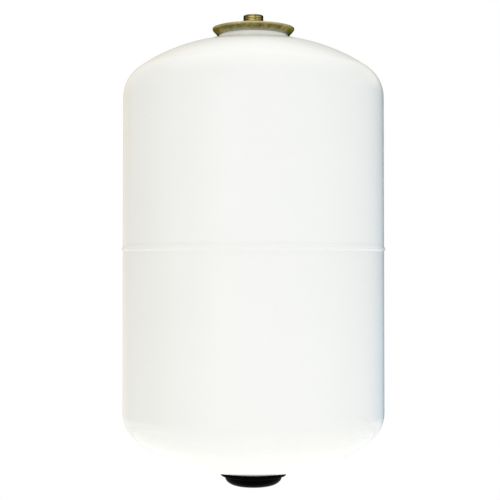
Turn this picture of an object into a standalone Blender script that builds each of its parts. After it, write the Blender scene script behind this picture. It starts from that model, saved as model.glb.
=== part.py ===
"""Expansion vessel of the 24 litre size, hung from its G 1/2 water spigot.

Two deep-drawn steel halves are lap welded round the middle. A short neck ring is
welded into the upper half, and a plated flange, rolled round the neck's lip, clamps
the rubber bladder's bead and the plastic liner of the water way. The lower half has
a pressed pocket for the air valve, whose dust cap and push-fit cover come off.

Frame: the origin is the centre of the spigot's end face, +Z points out along the
spigot, and the vessel hangs below it. Lengths are in millimetres up to the mesh
builder, which turns them into metres. Heights named with no other words are
measured from the middle plane of the body.
"""

import math

import bmesh
import bpy

MM = 0.001
GAP = 0.3                     # running gap left between neighbouring pieces

# Body: a straight shell with two equal dished ends, each of three tangent arcs.
BODY_RADIUS = 135.0
HALF_STRAIGHT = 161.6         # middle plane to the line where the dished end starts
KNUCKLE_RADIUS = 36.0
SHOULDER_RADIUS = 180.0
CROWN_RADIUS = 260.0
CROWN_EDGE = 53.0             # distance from the axis where the crown arc starts
SHELL_WALL = 1.5

# Girth joint: the upper half steps inwards and slides into the lower half.
JOGGLE_TOP = 9.9
JOGGLE_LENGTH = 2.0
LAP_BOTTOM = -10.0
LOWER_RIM = 4.2
BEAD_TOP = 7.6
BEAD_BOTTOM = 2.7
BEAD_PROUD = 1.1

# Neck ring and the flange that is rolled round its lip.
NECK_RADIUS = 36.0
NECK_BORE = 33.6
NECK_BOTTOM = 216.0
NECK_WELD_LEG = 2.2
LIP_ROOT = 228.3
LIP_TOP = 230.4
LIP_RADIUS = 37.6
FLANGE_TOP = 235.2
FLANGE_PLATE = 1.6
FLANGE_RADIUS = 42.7
FLANGE_EDGE_ROUND = 0.7
DISH_RADIUS = 14.0            # shallow recess that takes the spigot's weld
DISH_EDGE = 14.6
DISH_DEPTH = 0.5
FLANGE_HOOK = 37.2            # radius of the rolled-in edge under the lip
FLANGE_BOTTOM = 227.2
SKIRT_OUTSIDE = ((FLANGE_RADIUS, 234.1), (42.2, 233.1), (41.2, 232.0), (39.3, 230.0),
                 (38.0, 228.4), (FLANGE_HOOK, FLANGE_BOTTOM))
SKIRT_INSIDE = ((36.4, 227.5), (36.7, 228.5), (38.1, 230.4), (39.8, 232.2), (40.5, 233.6))

# Water spigot, G 1/2 outside.
SPIGOT_TOP = 248.8
SPIGOT_RADIUS = 10.48
SPIGOT_BORE = 7.5
SPIGOT_CHAMFER = 1.0
SPIGOT_WELD_LEG = 2.6
LINER_WALL = 1.5
LINER_DISC = 1.0
LINER_RADIUS = 37.5
LINER_RECESS = 1.0            # liner ends this far below the spigot's end face

FILLET_HOLLOW = 0.35          # how far a fillet's face stands off its root, over its leg

# Rubber bladder.
BLADDER_WALL = 2.0
BLADDER_RADIUS = 105.0
BLADDER_SHOULDER = 190.0
BLADDER_SHOULDER_ROUND = 45.0
BLADDER_NECK_SLOPE = math.radians(75)
BLADDER_BOTTOM = -165.0
BLADDER_BOTTOM_ROUND = 90.0

# Valve pocket pressed into the lower half.
POCKET_RADIUS = 25.3
POCKET_DEPTH = 16.0           # from the crown's lowest point up to the pocket's floor
POCKET_MOUTH_ROUND = 5.0
POCKET_FLOOR_ROUND = 4.0
VALVE_HOLE = 5.3

# Air valve. Heights below are measured downwards from the pocket's floor.
STEM_RADIUS = 3.9
STEM_LENGTH = 17.6
STEM_BORE = 2.7
STEM_INNER_BORE = 1.3
SPRING_SEAT = 2.6             # step between the two bores
HEAD_RADIUS = 8.5
HEAD_THICKNESS = 3.0
GROMMET_THICKNESS = 2.0
GROMMET_RADIUS = 9.0
WASHER_RADIUS = 8.5
WASHER_THICKNESS = 1.0
NUT_ACROSS_FLATS = 13.0
NUT_THICKNESS = 4.0
NUT_CHAMFER = 0.6             # part of the corner's overhang that is turned off
NUT_FACE = 0.9                # radius of the flat end faces over half the width across flats

# Valve core. Heights below are measured downwards from the pocket's floor.
CORE_TOP = 10.1
CORE_BOTTOM = 16.6
CORE_RADIUS = 2.4
CORE_BORE = 1.0
CORE_GROOVE_TOP = 11.0
CORE_GROOVE_BOTTOM = 13.2
CORE_GROOVE_RADIUS = 1.6
PIN_RADIUS = 0.6
PIN_TOP = 1.6
PIN_BOTTOM = 17.2
POPPET_RADIUS = 2.0
POPPET_PLATE = 0.7
POPPET_SEAL = 1.0
SPRING_RADIUS = 1.5
SPRING_WIRE = 0.2
SPRING_TURNS = 4
SPRING_POINTS_PER_TURN = 10

# Dust cap and the push-fit cover over the whole valve.
DUST_CAP_RADIUS = 5.8
DUST_CAP_TOP = 10.1
DUST_CAP_LENGTH = 10.5
DUST_CAP_END = 1.5
DUST_SEAL_THICKNESS = 0.9

# Push-fit cover over the whole valve.
COVER_BOTTOM = -238.2
COVER_FLAT = 15.5
COVER_BOWL_RADIUS = 29.35
COVER_BOWL_TOP = -229.4
COVER_RIM_RADIUS = 33.8
COVER_SHOULDER = -228.3
COVER_WALL = 1.5
COVER_FOOT = 0.5              # small break where the bowl runs into the shoulder
COVER_SKIRT_TOP = -215.5
COVER_SKIRT_WALL = 1.6

# Facets round each turned piece.
SHELL_FACETS = 48
COVER_FACETS = 36
BLADDER_FACETS = 30
SPIGOT_FACETS = 36
SMALL_FACETS = 24
TINY_FACETS = 16
OUTER_STEPS = (6, 2, 2)       # chords in the knuckle, shoulder and crown arcs
INNER_STEPS = (4, 2, 1)
BOWL_STEPS = 5


# ---------------------------------------------------------------- geometry helpers

def arc(centre, radius, start, end, steps):
    """Points on a circle from angle start to angle end, in radians, ends included."""
    angles = [start + (end - start) * i / steps for i in range(steps + 1)]
    return [(centre[0] + radius * math.cos(a), centre[1] + radius * math.sin(a))
            for a in angles]


def dished_end_arcs():
    """Centres and end angles of the knuckle, shoulder and crown arcs.

    Heights are above the line where the dished end starts.
    """
    crown_angle = math.acos(CROWN_EDGE / CROWN_RADIUS)
    shoulder_x = (SHOULDER_RADIUS - CROWN_RADIUS) * math.cos(crown_angle)
    knuckle_x = BODY_RADIUS - KNUCKLE_RADIUS
    knuckle_angle = math.acos((knuckle_x + shoulder_x)
                              / (SHOULDER_RADIUS - KNUCKLE_RADIUS))
    shoulder_y = -(SHOULDER_RADIUS - KNUCKLE_RADIUS) * math.sin(knuckle_angle)
    crown_y = shoulder_y - (CROWN_RADIUS - SHOULDER_RADIUS) * math.sin(crown_angle)
    knuckle = ((knuckle_x, 0.0), KNUCKLE_RADIUS, 0.0, knuckle_angle)
    shoulder = ((-shoulder_x, shoulder_y), SHOULDER_RADIUS, knuckle_angle, crown_angle)
    crown = ((0.0, crown_y), CROWN_RADIUS, crown_angle, math.pi / 2)
    return knuckle, shoulder, crown


def crown_height(radius, inset=0.0):
    """Height of the crown above the middle plane, at a distance from the axis."""
    centre, crown_radius = dished_end_arcs()[2][:2]
    return HALF_STRAIGHT + centre[1] + math.sqrt((crown_radius - inset) ** 2 - radius ** 2)


def dished_end(inner_radius, inset=0.0):
    """Outline of a dished end from the straight shell in to inner_radius."""
    points = []
    chords = INNER_STEPS if inset else OUTER_STEPS
    for (centre, radius, start, end), steps in zip(dished_end_arcs(), chords):
        if centre[0] == 0.0:
            end = math.acos(inner_radius / (radius - inset))
        run = arc((centre[0], centre[1] + HALF_STRAIGHT), radius - inset, start, end, steps)
        points += run[1:] if points else run
    return points


def flipped(points):
    """The same outline below the middle plane."""
    return [(r, -z) for r, z in points]


def signed_area(outline):
    """Area inside a closed outline, positive when it runs anticlockwise."""
    total = 0.0
    for (r0, z0), (r1, z1) in zip(outline, outline[1:] + outline[:1]):
        total += r0 * z1 - r1 * z0
    return total / 2


# ------------------------------------------------------------------- mesh builders

def clear_scene():
    for item in list(bpy.data.objects):
        bpy.data.objects.remove(item, do_unlink=True)


def finish(name, shown_as, material, parent):
    """Make an object from mesh or curve data and hang it on its parent."""
    item = bpy.data.objects.new(name, shown_as)
    bpy.context.scene.collection.objects.link(item)
    item.parent = parent
    shown_as.materials.append(material)
    return item


def turned(name, outline, facets, material, parent):
    """Turn an outline of (radius, height) points about the Z axis.

    An outline that starts and ends on the axis makes a solid end there.
    Any other outline is closed from its last point to its first.
    """
    on_axis = outline[0][0] == 0.0 and outline[-1][0] == 0.0
    if signed_area(outline) > 0:
        outline = outline[::-1]
    mesh = bpy.data.meshes.new(name)
    points = [(r * MM, 0.0, z * MM) for r, z in outline]
    edges = [(i, i + 1) for i in range(len(points) - 1)]
    if not on_axis:
        edges.append((len(points) - 1, 0))
    mesh.from_pydata(points, edges, [])
    item = finish(name, mesh, material, parent)
    screw = item.modifiers.new("Turn", "SCREW")
    screw.axis = "Z"
    screw.angle = 2 * math.pi
    screw.steps = facets
    screw.render_steps = facets
    screw.use_merge_vertices = True
    screw.merge_threshold = 0.00001
    screw.use_smooth_shade = True
    return item


def prism(name, sides, across_flats, low, high, material, parent):
    """An upright prism with regular sides, between two heights."""
    mesh = bpy.data.meshes.new(name)
    body = bmesh.new()
    corner = across_flats / 2 / math.cos(math.pi / sides)
    bmesh.ops.create_circle(body, cap_ends=True, segments=sides, radius=corner * MM)
    bmesh.ops.translate(body, verts=body.verts, vec=(0.0, 0.0, low * MM))
    top = bmesh.ops.extrude_face_region(body, geom=list(body.faces))["geom"]
    raised = [v for v in top if isinstance(v, bmesh.types.BMVert)]
    bmesh.ops.translate(body, verts=raised, vec=(0.0, 0.0, (high - low) * MM))
    bmesh.ops.recalc_face_normals(body, faces=body.faces)
    body.to_mesh(mesh)
    body.free()
    return finish(name, mesh, material, parent)


def cut(target, cutter, operation):
    """Boolean a hidden cutter with the target."""
    cutter.hide_render = True
    cutter.display_type = "WIRE"
    boolean = target.modifiers.new(cutter.name, "BOOLEAN")
    boolean.operation = operation
    boolean.solver = "EXACT"
    boolean.object = cutter


def coil(name, radius, wire, low, high, turns, material, parent):
    """A helical wire with filled ends, between two heights."""
    curve = bpy.data.curves.new(name, "CURVE")
    curve.dimensions = "3D"
    curve.bevel_depth = wire * MM
    curve.bevel_resolution = 1
    curve.use_fill_caps = True
    count = turns * SPRING_POINTS_PER_TURN + 1
    spline = curve.splines.new("POLY")
    spline.points.add(count - 1)
    for i, point in enumerate(spline.points):
        angle = 2 * math.pi * i / SPRING_POINTS_PER_TURN
        rise = low + wire + (high - low - 2 * wire) * i / (count - 1)
        point.co = (radius * MM * math.cos(angle), radius * MM * math.sin(angle), rise * MM, 1.0)
    return finish(name, curve, material, parent)


def empty(name, height, parent=None):
    """A plain axes marker that a group of pieces hangs on."""
    item = bpy.data.objects.new(name, None)
    bpy.context.scene.collection.objects.link(item)
    item.parent = parent
    item.location = (0.0, 0.0, height * MM)
    return item


def surface(name, colour, roughness, metallic=0.0):
    """A Principled material of one plain colour."""
    material = bpy.data.materials.new(name)
    material.use_nodes = True
    shader = material.node_tree.nodes["Principled BSDF"]
    shader.inputs["Base Color"].default_value = (*colour, 1.0)
    shader.inputs["Roughness"].default_value = roughness
    shader.inputs["Metallic"].default_value = metallic
    material.diffuse_color = (*colour, 1.0)
    return material


# ---------------------------------------------------------------------- body shell

def make_upper_shell(vessel):
    """Upper drawn half, with the neck's hole and the stepped-in lap."""
    hole = NECK_RADIUS + GAP
    lap_radius = BODY_RADIUS - SHELL_WALL - GAP
    step_end = JOGGLE_TOP - JOGGLE_LENGTH
    outline = dished_end(hole)[::-1]
    outline += [(BODY_RADIUS, JOGGLE_TOP), (lap_radius, step_end), (lap_radius, LAP_BOTTOM)]
    outline += [(lap_radius - SHELL_WALL, LAP_BOTTOM),
                (lap_radius - SHELL_WALL, step_end + SHELL_WALL / 2),
                (BODY_RADIUS - SHELL_WALL, JOGGLE_TOP + SHELL_WALL / 2)]
    outline += dished_end(hole, SHELL_WALL)
    white = surface("upper_shell_paint", (0.90, 0.90, 0.88), 0.25)
    return turned("upper_shell", outline, SHELL_FACETS, white, vessel)


def pocket_outline(inset):
    """Pocket from its mouth on the crown in to the valve hole, below the middle plane.

    An inset of nought follows the outer face, and an inset of the wall the inner face.
    """
    floor = -crown_height(0.0) + POCKET_DEPTH + inset
    mouth_round = POCKET_MOUTH_ROUND - inset
    floor_round = POCKET_FLOOR_ROUND + inset
    mouth_centre = (POCKET_RADIUS + POCKET_MOUTH_ROUND,
                    -crown_height(POCKET_RADIUS + POCKET_MOUTH_ROUND) + POCKET_MOUTH_ROUND)
    floor_centre = (POCKET_RADIUS - POCKET_FLOOR_ROUND, floor - floor_round)
    mouth = arc(mouth_centre, mouth_round, math.radians(-90), math.radians(-180), 3)
    corner = arc(floor_centre, floor_round, 0.0, math.pi / 2, 3)
    return mouth + corner + [(VALVE_HOLE, floor)]


def make_lower_shell(vessel):
    """Lower drawn half, with the valve pocket pressed into its crown."""
    mouth = POCKET_RADIUS + POCKET_MOUTH_ROUND
    outer = [(BODY_RADIUS, LOWER_RIM)] + flipped(dished_end(mouth))[:-1] + pocket_outline(0.0)
    inner = ([(BODY_RADIUS - SHELL_WALL, LOWER_RIM)]
             + flipped(dished_end(mouth, SHELL_WALL))[:-1] + pocket_outline(SHELL_WALL))
    white = surface("lower_shell_paint", (0.90, 0.90, 0.88), 0.25)
    return turned("lower_shell", outer + inner[::-1], SHELL_FACETS, white, vessel)


def make_girth_weld(vessel):
    """Weld bead that fills the step and laps over the lower half's rim."""
    root = BODY_RADIUS - SHELL_WALL
    toe = BODY_RADIUS + GAP
    crest = BODY_RADIUS + BEAD_PROUD
    middle = (BEAD_TOP + BEAD_BOTTOM) / 2
    flank = (BEAD_TOP - BEAD_BOTTOM) / 4
    shelf = LOWER_RIM + GAP
    outline = [(root, BEAD_TOP), (root + SHELL_WALL / 2, BEAD_TOP - GAP),
               (crest - BEAD_PROUD / 3, middle + flank), (crest, middle),
               (crest - BEAD_PROUD / 4, middle - flank), (toe, BEAD_BOTTOM),
               (toe, shelf), (root, shelf)]
    white = surface("girth_weld_paint", (0.90, 0.90, 0.88), 0.3)
    return turned("girth_weld_bead", outline, SHELL_FACETS, white, vessel)


# ------------------------------------------------------------------ water end

def make_neck_ring(vessel):
    """Collar welded into the upper half, with an outward lip that the flange grips."""
    outline = [(NECK_BORE, LIP_TOP), (LIP_RADIUS, LIP_TOP), (NECK_RADIUS, LIP_ROOT),
               (NECK_RADIUS, NECK_BOTTOM), (NECK_BORE, NECK_BOTTOM)]
    white = surface("neck_ring_paint", (0.88, 0.88, 0.86), 0.3)
    return turned("neck_ring", outline, SHELL_FACETS, white, vessel)


def fillet(root, root_height, leg, toe_height):
    """Outline of a concave fillet that stands on a face, against a round wall."""
    hollow = leg * FILLET_HOLLOW
    return [(root, root_height + leg), (root + hollow, root_height + hollow),
            (root + leg, toe_height), (root, root_height)]


def make_neck_weld(vessel):
    """Concave fillet between the neck ring and the upper half."""
    root = NECK_RADIUS + GAP
    toe_height = crown_height(root + NECK_WELD_LEG) + GAP
    outline = fillet(root, crown_height(root) + GAP, NECK_WELD_LEG, toe_height)
    white = surface("neck_weld_paint", (0.88, 0.88, 0.86), 0.3)
    return turned("neck_weld_bead", outline, SHELL_FACETS, white, vessel)


def make_clamp_flange(vessel):
    """Plated cover disc whose skirt is rolled in under the neck's lip."""
    hole = SPIGOT_RADIUS + GAP
    edge = (FLANGE_RADIUS - FLANGE_EDGE_ROUND, FLANGE_TOP - FLANGE_EDGE_ROUND)
    underside = FLANGE_TOP - FLANGE_PLATE
    dish = FLANGE_TOP - DISH_DEPTH
    outline = [(hole, dish), (DISH_RADIUS, dish), (DISH_EDGE, FLANGE_TOP)]
    outline += arc(edge, FLANGE_EDGE_ROUND, math.pi / 2, 0.0, 3)
    outline += [*SKIRT_OUTSIDE, *SKIRT_INSIDE, (hole, underside)]
    gold = surface("clamp_flange_plating", (0.45, 0.38, 0.17), 0.4, 1.0)
    return turned("clamp_flange", outline, SHELL_FACETS, gold, vessel)


def make_spigot(vessel):
    """Plain G 1/2 spigot that stands through the flange, with a chamfered end."""
    foot = FLANGE_TOP - FLANGE_PLATE
    outline = [(SPIGOT_BORE, SPIGOT_TOP), (SPIGOT_RADIUS - SPIGOT_CHAMFER, SPIGOT_TOP),
               (SPIGOT_RADIUS, SPIGOT_TOP - SPIGOT_CHAMFER), (SPIGOT_RADIUS, foot),
               (SPIGOT_BORE, foot)]
    gold = surface("spigot_plating", (0.50, 0.41, 0.18), 0.35, 1.0)
    return turned("spigot", outline, SPIGOT_FACETS, gold, vessel)


def make_spigot_weld(vessel):
    """Fillet between the spigot and the flange's top."""
    base = FLANGE_TOP - DISH_DEPTH + GAP
    outline = fillet(SPIGOT_RADIUS + GAP, base, SPIGOT_WELD_LEG, base)
    gold = surface("spigot_weld_plating", (0.42, 0.36, 0.17), 0.5, 1.0)
    return turned("spigot_weld_bead", outline, SPIGOT_FACETS, gold, vessel)


def liner_disc_top():
    return FLANGE_TOP - FLANGE_PLATE - GAP


def make_connection_liner(vessel):
    """Plastic liner of the water way: a disc under the flange and a tube up the spigot."""
    tube = SPIGOT_BORE - GAP
    way = tube - LINER_WALL
    tube_top = SPIGOT_TOP - LINER_RECESS
    disc_top = liner_disc_top()
    disc_bottom = disc_top - LINER_DISC
    outline = [(way, tube_top), (tube, tube_top), (tube, disc_top), (LINER_RADIUS, disc_top),
               (LINER_RADIUS, disc_bottom), (way, disc_bottom)]
    plastic = surface("connection_liner_plastic", (0.80, 0.80, 0.76), 0.5)
    return turned("connection_liner", outline, SPIGOT_FACETS, plastic, vessel)


def bladder_outline(inset):
    """Bag from its neck down to its lowest point, inset from the outer face."""
    shoulder = (BLADDER_RADIUS - BLADDER_SHOULDER_ROUND, BLADDER_SHOULDER - BLADDER_SHOULDER_ROUND)
    bottom = (BLADDER_RADIUS - BLADDER_BOTTOM_ROUND, BLADDER_BOTTOM + BLADDER_BOTTOM_ROUND)
    points = [(NECK_BORE - GAP - inset, NECK_BOTTOM)]
    points += arc(shoulder, BLADDER_SHOULDER_ROUND - inset, BLADDER_NECK_SLOPE, 0.0, 4)
    points += arc(bottom, BLADDER_BOTTOM_ROUND - inset, 0.0, -math.pi / 2, 6)
    return points + [(0.0, BLADDER_BOTTOM + inset)]


def make_bladder(vessel):
    """Rubber bag whose bead is clamped between the neck's lip and the liner."""
    bead_top = liner_disc_top() - LINER_DISC - GAP
    bead_bottom = LIP_TOP + GAP
    outer = [(LIP_RADIUS - GAP, bead_top), (LIP_RADIUS - GAP, bead_bottom),
             (NECK_BORE - GAP, bead_bottom)] + bladder_outline(0.0)
    inner = [(NECK_BORE - GAP - BLADDER_WALL, bead_top)] + bladder_outline(BLADDER_WALL)
    rubber = surface("bladder_rubber", (0.03, 0.03, 0.03), 0.7)
    return turned("bladder", outer + inner[::-1], BLADDER_FACETS, rubber, vessel)


# --------------------------------------------------------------------- air valve

def make_valve_grommet(valve):
    """Rubber seal under the valve's head, with a sleeve through the hole."""
    bore = STEM_RADIUS + GAP
    inside = SHELL_WALL + GAP
    sleeve_end = GAP
    outline = [(bore, inside + GROMMET_THICKNESS), (GROMMET_RADIUS, inside + GROMMET_THICKNESS),
               (GROMMET_RADIUS, inside), (VALVE_HOLE - GAP, inside),
               (VALVE_HOLE - GAP, sleeve_end), (bore, sleeve_end)]
    rubber = surface("valve_grommet_rubber", (0.04, 0.04, 0.04), 0.7)
    return turned("valve_grommet", outline, SMALL_FACETS, rubber, valve)


def make_valve_body(valve):
    """Brass valve with a flat head inside the vessel and a bored stem outside."""
    head_bottom = SHELL_WALL + GROMMET_THICKNESS + 2 * GAP
    head_top = head_bottom + HEAD_THICKNESS
    outline = [(STEM_INNER_BORE, head_top), (HEAD_RADIUS, head_top), (HEAD_RADIUS, head_bottom),
               (STEM_RADIUS, head_bottom), (STEM_RADIUS, GAP - STEM_LENGTH),
               (STEM_RADIUS - GAP, -STEM_LENGTH), (STEM_BORE, -STEM_LENGTH),
               (STEM_BORE, -SPRING_SEAT), (STEM_INNER_BORE, -SPRING_SEAT)]
    brass = surface("valve_body_brass", (0.62, 0.47, 0.20), 0.3, 1.0)
    return turned("valve_body", outline, SMALL_FACETS, brass, valve)


def make_valve_washer(valve):
    """Flat steel washer under the nut."""
    bore = STEM_RADIUS + GAP
    outline = [(bore, -GAP), (WASHER_RADIUS, -GAP), (WASHER_RADIUS, -GAP - WASHER_THICKNESS),
               (bore, -GAP - WASHER_THICKNESS)]
    steel = surface("valve_washer_steel", (0.60, 0.60, 0.60), 0.35, 1.0)
    return turned("valve_washer", outline, SMALL_FACETS, steel, valve)


def make_valve_nut(valve):
    """Hexagon nut with chamfered corners that pulls the valve down on its seal."""
    high = -WASHER_THICKNESS - 2 * GAP
    low = high - NUT_THICKNESS
    brass = surface("valve_nut_brass", (0.62, 0.47, 0.20), 0.35, 1.0)
    nut = prism("valve_nut", 6, NUT_ACROSS_FLATS, low, high, brass, valve)
    corner = NUT_ACROSS_FLATS / math.sqrt(3)
    flat = NUT_ACROSS_FLATS / 2
    face = flat * NUT_FACE
    chamfer = (corner - flat) * NUT_CHAMFER
    rounding = [(0.0, high + GAP), (face, high + GAP), (corner + GAP, high - chamfer),
                (corner + GAP, low + chamfer), (face, low - GAP), (0.0, low - GAP)]
    bore = STEM_RADIUS + GAP
    drill = [(0.0, high + GAP), (bore, high + GAP), (bore, low - GAP), (0.0, low - GAP)]
    cut(nut, turned("nut_rounding_cutter", rounding, SPIGOT_FACETS, brass, valve), "INTERSECT")
    cut(nut, turned("nut_bore_cutter", drill, SMALL_FACETS, brass, valve), "DIFFERENCE")
    return nut


def make_core_barrel(valve):
    """Plug of the valve core, with a groove for its gasket."""
    outline = [(CORE_BORE, -CORE_TOP), (CORE_RADIUS, -CORE_TOP), (CORE_RADIUS, -CORE_GROOVE_TOP),
               (CORE_GROOVE_RADIUS, -CORE_GROOVE_TOP), (CORE_GROOVE_RADIUS, -CORE_GROOVE_BOTTOM),
               (CORE_RADIUS, -CORE_GROOVE_BOTTOM), (CORE_RADIUS, -CORE_BOTTOM),
               (CORE_BORE, -CORE_BOTTOM)]
    brass = surface("core_barrel_brass", (0.62, 0.47, 0.20), 0.3, 1.0)
    return turned("core_barrel", outline, TINY_FACETS, brass, valve)


def make_core_barrel_seal(valve):
    """Gasket in the barrel's groove."""
    inner = CORE_GROOVE_RADIUS + GAP
    top = -CORE_GROOVE_TOP - GAP
    bottom = -CORE_GROOVE_BOTTOM + GAP
    outline = [(inner, top), (CORE_RADIUS, top), (CORE_RADIUS, bottom), (inner, bottom)]
    red = surface("core_barrel_seal_rubber", (0.45, 0.06, 0.04), 0.6)
    return turned("core_barrel_seal", outline, TINY_FACETS, red, valve)


def poppet_top():
    return -CORE_TOP + POPPET_SEAL + POPPET_PLATE + 2 * GAP


def make_core_pin(valve):
    """Pin that opens the valve when pressed, with the plate that carries its seal."""
    plate_top = poppet_top()
    plate_bottom = plate_top - POPPET_PLATE
    outline = [(0.0, -PIN_TOP), (PIN_RADIUS, -PIN_TOP), (PIN_RADIUS, plate_top),
               (POPPET_RADIUS, plate_top), (POPPET_RADIUS, plate_bottom),
               (PIN_RADIUS, plate_bottom), (PIN_RADIUS, -PIN_BOTTOM), (0.0, -PIN_BOTTOM)]
    brass = surface("core_pin_brass", (0.62, 0.47, 0.20), 0.3, 1.0)
    return turned("core_pin", outline, TINY_FACETS, brass, valve)


def make_core_poppet_seal(valve):
    """Rubber ring that closes on the barrel's inner end."""
    top = poppet_top() - POPPET_PLATE - GAP
    inner = PIN_RADIUS + GAP
    outline = [(inner, top), (POPPET_RADIUS, top), (POPPET_RADIUS, top - POPPET_SEAL),
               (inner, top - POPPET_SEAL)]
    rubber = surface("core_poppet_seal_rubber", (0.03, 0.03, 0.03), 0.6)
    return turned("core_poppet_seal", outline, TINY_FACETS, rubber, valve)


def make_core_spring(valve):
    """Coil spring between the poppet's plate and the step in the stem's bore."""
    low = poppet_top() + GAP
    high = -SPRING_SEAT - GAP
    steel = surface("core_spring_steel", (0.65, 0.65, 0.65), 0.3, 1.0)
    return coil("core_spring", SPRING_RADIUS, SPRING_WIRE, low, high, SPRING_TURNS, steel, valve)


def make_dust_cap(valve):
    """Screw cap over the stem's end."""
    bore = STEM_RADIUS + GAP
    bottom = -DUST_CAP_TOP - DUST_CAP_LENGTH
    end = bottom + DUST_CAP_END
    outline = [(0.0, end), (bore, end), (bore, -DUST_CAP_TOP),
               (DUST_CAP_RADIUS - GAP, -DUST_CAP_TOP), (DUST_CAP_RADIUS, -DUST_CAP_TOP - GAP),
               (DUST_CAP_RADIUS, bottom + GAP), (DUST_CAP_RADIUS - GAP, bottom), (0.0, bottom)]
    plastic = surface("dust_cap_plastic", (0.02, 0.02, 0.02), 0.45)
    return turned("dust_cap", outline, SMALL_FACETS, plastic, valve)


def make_dust_cap_seal(valve):
    """Rubber disc in the end of the dust cap."""
    bottom = -DUST_CAP_TOP - DUST_CAP_LENGTH + DUST_CAP_END + GAP
    top = bottom + DUST_SEAL_THICKNESS
    outline = [(0.0, top), (STEM_RADIUS, top), (STEM_RADIUS, bottom), (0.0, bottom)]
    rubber = surface("dust_cap_seal_rubber", (0.03, 0.03, 0.03), 0.7)
    return turned("dust_cap_seal", outline, SMALL_FACETS, rubber, valve)


def cover_bowl(inset, inner_radius):
    """Elliptical side of the cover's bowl, from inner_radius out to its widest."""
    across = COVER_BOWL_RADIUS - COVER_FLAT - inset
    deep = COVER_BOWL_TOP - COVER_BOTTOM - inset
    start = math.asin(max(0.0, inner_radius - COVER_FLAT) / across)
    angles = [start + (math.pi / 2 - start) * i / BOWL_STEPS for i in range(BOWL_STEPS + 1)]
    return [(COVER_FLAT + across * math.sin(a), COVER_BOWL_TOP - deep * math.cos(a))
            for a in angles]


def make_protective_cap(vessel):
    """Push-fit cover: a shallow bowl, a rim on the crown and a skirt in the pocket."""
    skirt_outer = POCKET_RADIUS - GAP
    skirt_inner = skirt_outer - COVER_SKIRT_WALL
    rim_inner = COVER_RIM_RADIUS - COVER_WALL
    shoulder_inside = COVER_SHOULDER + COVER_WALL
    outer = [(0.0, COVER_BOTTOM)] + cover_bowl(0.0, COVER_FLAT)
    outer += [(COVER_BOWL_RADIUS + COVER_FOOT, COVER_BOWL_TOP + COVER_FOOT),
              (COVER_BOWL_RADIUS + COVER_WALL, COVER_SHOULDER),
              (COVER_RIM_RADIUS - COVER_FOOT, COVER_SHOULDER + COVER_FOOT),
              (COVER_RIM_RADIUS, COVER_SHOULDER + COVER_WALL),
              (COVER_RIM_RADIUS, -crown_height(COVER_RIM_RADIUS) - GAP)]
    inside_rim = [(rim_inner, -crown_height(rim_inner) - GAP), (rim_inner, shoulder_inside),
                  (COVER_BOWL_RADIUS + COVER_FOOT, shoulder_inside)]
    inside_bowl = cover_bowl(COVER_WALL, skirt_outer)[::-1]
    skirt = [(skirt_outer, COVER_SKIRT_TOP), (skirt_inner, COVER_SKIRT_TOP)]
    floor = cover_bowl(COVER_WALL, COVER_FLAT)
    floor = [p for p in floor if p[0] < skirt_inner - COVER_FOOT]
    skirt_foot = cover_bowl(COVER_WALL, skirt_inner)[0]
    outline = outer + inside_rim + inside_bowl + skirt + [skirt_foot] + floor[::-1]
    outline.append((0.0, COVER_BOTTOM + COVER_WALL))
    black = surface("protective_cap_plastic", (0.015, 0.015, 0.015), 0.35)
    return turned("protective_cap", outline, COVER_FACETS, black, vessel)


def main():
    clear_scene()
    vessel = empty("vessel_middle", -SPIGOT_TOP)
    valve = empty("valve_seat", -crown_height(0.0) + POCKET_DEPTH, vessel)
    for make in (make_upper_shell, make_lower_shell, make_girth_weld, make_neck_ring,
                 make_neck_weld, make_clamp_flange, make_spigot, make_spigot_weld,
                 make_connection_liner, make_bladder, make_protective_cap):
        make(vessel)
    for make in (make_valve_grommet, make_valve_body, make_valve_washer, make_valve_nut,
                 make_core_barrel, make_core_barrel_seal, make_core_pin, make_core_poppet_seal,
                 make_core_spring, make_dust_cap, make_dust_cap_seal):
        make(valve)


main()
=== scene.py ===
"""Looks of a 24 litre expansion vessel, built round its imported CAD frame.

Every piece stands for one CAD node and rides on that node's body. Shapes are turned
from finer outlines than the CAD's, with eased edges, threads, weld ripples and ribs.
Lengths are in millimetres up to the mesh builder, which turns them into metres.
Heights are measured from a datum: the body's middle plane, or the valve's seat.
"""

import math

import bpy
import numpy as np
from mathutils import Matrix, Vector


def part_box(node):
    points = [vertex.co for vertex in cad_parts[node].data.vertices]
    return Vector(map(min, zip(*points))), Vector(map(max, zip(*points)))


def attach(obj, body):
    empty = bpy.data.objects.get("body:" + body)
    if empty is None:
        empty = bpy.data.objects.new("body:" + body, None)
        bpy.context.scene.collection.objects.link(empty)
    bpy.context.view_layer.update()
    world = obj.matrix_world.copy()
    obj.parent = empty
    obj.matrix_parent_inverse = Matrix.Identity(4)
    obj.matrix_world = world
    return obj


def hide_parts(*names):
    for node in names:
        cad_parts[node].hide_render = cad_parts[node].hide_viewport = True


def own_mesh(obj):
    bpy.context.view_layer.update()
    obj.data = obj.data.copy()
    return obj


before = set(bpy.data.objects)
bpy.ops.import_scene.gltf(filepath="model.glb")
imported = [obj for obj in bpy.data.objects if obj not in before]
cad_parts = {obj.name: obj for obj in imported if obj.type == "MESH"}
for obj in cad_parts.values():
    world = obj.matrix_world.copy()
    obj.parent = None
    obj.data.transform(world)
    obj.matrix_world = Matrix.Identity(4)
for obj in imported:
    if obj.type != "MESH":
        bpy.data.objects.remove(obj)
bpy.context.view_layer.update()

MM = 0.001
GAP = 0.3  # clearance between neighbouring pieces
FULL_TURN = 2 * math.pi
HALF_SIDE = math.pi / 6  # half of the angle that a hexagon's side takes up

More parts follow.
